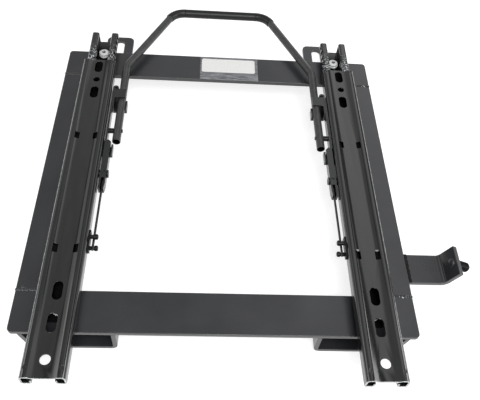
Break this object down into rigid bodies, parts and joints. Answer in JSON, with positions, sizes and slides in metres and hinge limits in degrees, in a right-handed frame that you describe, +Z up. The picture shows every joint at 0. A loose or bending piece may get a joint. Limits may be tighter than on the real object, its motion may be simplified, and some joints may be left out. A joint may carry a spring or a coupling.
{
  "type": "seat slide rail",
  "caption": "Steel seat slide rails on a welded flat-bar base with floor feet, a loop handle that lifts the latch levers, and an arm with a stud for the belt buckle.",
  "frame": {"origin": "on the floor, midway between the two rear floor bolt holes", "axes": "+X to the seat's right (the buckle side), +Y forward to the handle, +Z up"},
  "size_m": [0.5234, 0.5994, 0.0664],
  "materials": {
    "frame_paint": "satin black powder coat",
    "rail_paint": "semi-gloss black electro coat",
    "zinc_plate": "bright zinc plate",
    "black_oxide": "black oxide steel",
    "spring_steel": "oiled black spring wire",
    "ball_steel": "polished bearing steel",
    "grip_vinyl": "soft black vinyl sleeve"
  },
  "bodies": {
    "base": {"front_cross_bar": "frame_paint", "rear_cross_bar": "frame_paint", "left_side_bar": "frame_paint", "right_side_bar": "frame_paint", "rear_left_foot": "frame_paint", "rear_right_foot": "frame_paint", "front_left_foot": "frame_paint", "front_right_foot": "frame_paint", "buckle_arm": "frame_paint", "buckle_stud": "black_oxide", "left_lower_rail": "rail_paint", "right_lower_rail": "rail_paint", "left_front_bolt": "zinc_plate", "left_rear_bolt": "zinc_plate", "right_front_bolt": "zinc_plate", "right_rear_bolt": "zinc_plate"},
    "left_carriage": {"left_upper_rail": "rail_paint", "left_pivot_pin": "black_oxide", "left_spring_anchor": "black_oxide", "left_spring_wire": "spring_steel"},
    "right_carriage": {"right_upper_rail": "rail_paint", "right_pivot_pin": "black_oxide", "right_spring_anchor": "black_oxide", "right_spring_wire": "spring_steel"},
    "release": {"handle_rod": "frame_paint", "handle_grip": "grip_vinyl", "left_lever": "black_oxide", "right_lever": "black_oxide", "left_clip": "black_oxide", "right_clip": "black_oxide", "left_cross_pin": "black_oxide", "right_cross_pin": "black_oxide"},
    "left_outer_strip": {"left_outer_balls": "ball_steel"},
    "left_inner_strip": {"left_inner_balls": "ball_steel"},
    "right_outer_strip": {"right_outer_balls": "ball_steel"},
    "right_inner_strip": {"right_inner_balls": "ball_steel"}
  },
  "joints": [
    {"name": "left_slide", "type": "slide", "parent": "base", "child": "left_carriage", "axis": [0, 1, 0], "range_m": [0, 0.192]},
    {"name": "right_slide", "type": "slide", "parent": "base", "child": "right_carriage", "axis": [0, 1, 0], "range_m": [0, 0.192]},
    {"name": "release_hinge", "type": "hinge", "parent": "left_carriage", "child": "release", "pos_m": [0, 0.181, 0.055], "axis": [1, 0, 0], "range_deg": [0, 4], "stiffness_Nm_per_rad": 4, "springref_deg": -8.59},
    {"name": "left_outer_strip_slide", "type": "slide", "parent": "base", "child": "left_outer_strip", "axis": [0, 1, 0], "range_m": [0, 0.096]},
    {"name": "left_inner_strip_slide", "type": "slide", "parent": "base", "child": "left_inner_strip", "axis": [0, 1, 0], "range_m": [0, 0.096]},
    {"name": "right_outer_strip_slide", "type": "slide", "parent": "base", "child": "right_outer_strip", "axis": [0, 1, 0], "range_m": [0, 0.096]},
    {"name": "right_inner_strip_slide", "type": "slide", "parent": "base", "child": "right_inner_strip", "axis": [0, 1, 0], "range_m": [0, 0.096]}
  ],
  "couplings": [
    {"joint": "right_slide", "follows": "left_slide", "ratio": 1},
    {"joint": "left_outer_strip_slide", "follows": "left_slide", "ratio": 0.5},
    {"joint": "left_inner_strip_slide", "follows": "left_slide", "ratio": 0.5},
    {"joint": "right_outer_strip_slide", "follows": "left_slide", "ratio": 0.5},
    {"joint": "right_inner_strip_slide", "follows": "left_slide", "ratio": 0.5}
  ]
}
